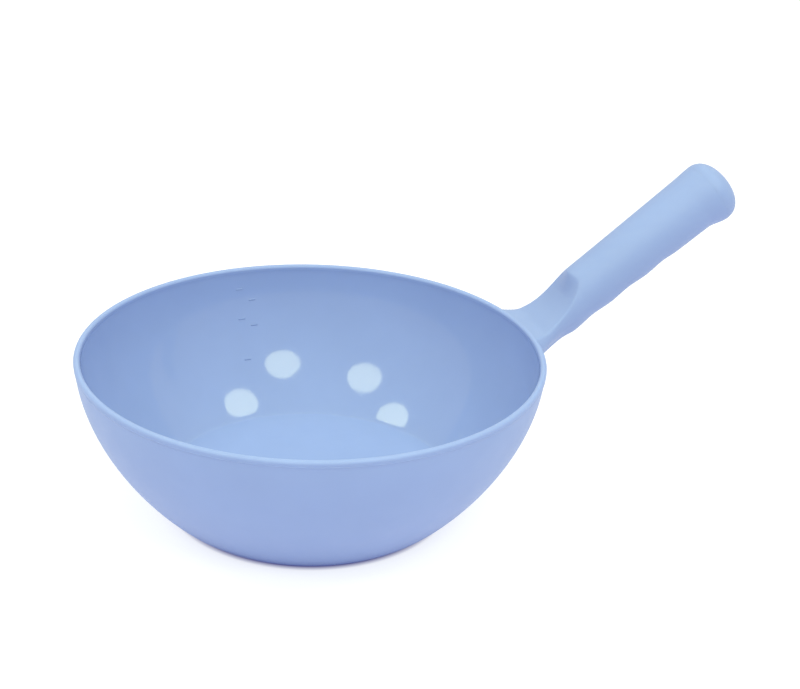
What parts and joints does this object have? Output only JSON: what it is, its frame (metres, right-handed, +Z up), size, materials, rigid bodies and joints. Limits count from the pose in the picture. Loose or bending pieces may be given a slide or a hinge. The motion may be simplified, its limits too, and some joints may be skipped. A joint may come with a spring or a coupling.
{
  "type": "feed scoop",
  "caption": "Round plastic feed scoop: a deep flat-based bowl with a rounded lip and an upswept grip handle with a thumb rest.",
  "frame": {"origin": "centre of the hub in the flat base the bowl stands on", "axes": "+Z up along the bowl's axis, +X from the bowl's centre towards the handle, +Y to the side with the fill marks"},
  "size_m": [0.3301, 0.22, 0.1511],
  "materials": {
    "bowl_plastic": "light periwinkle blue polypropylene, glossy inside, satin outside",
    "handle_plastic": "light periwinkle blue polypropylene, satin, the same colour as the bowl",
    "cap_plastic": "light periwinkle blue polypropylene, satin, the same colour as the bowl"
  },
  "bodies": {
    "root": {"bowl": "bowl_plastic", "handle": "handle_plastic", "end_cap": "cap_plastic"}
  },
  "joints": []
}
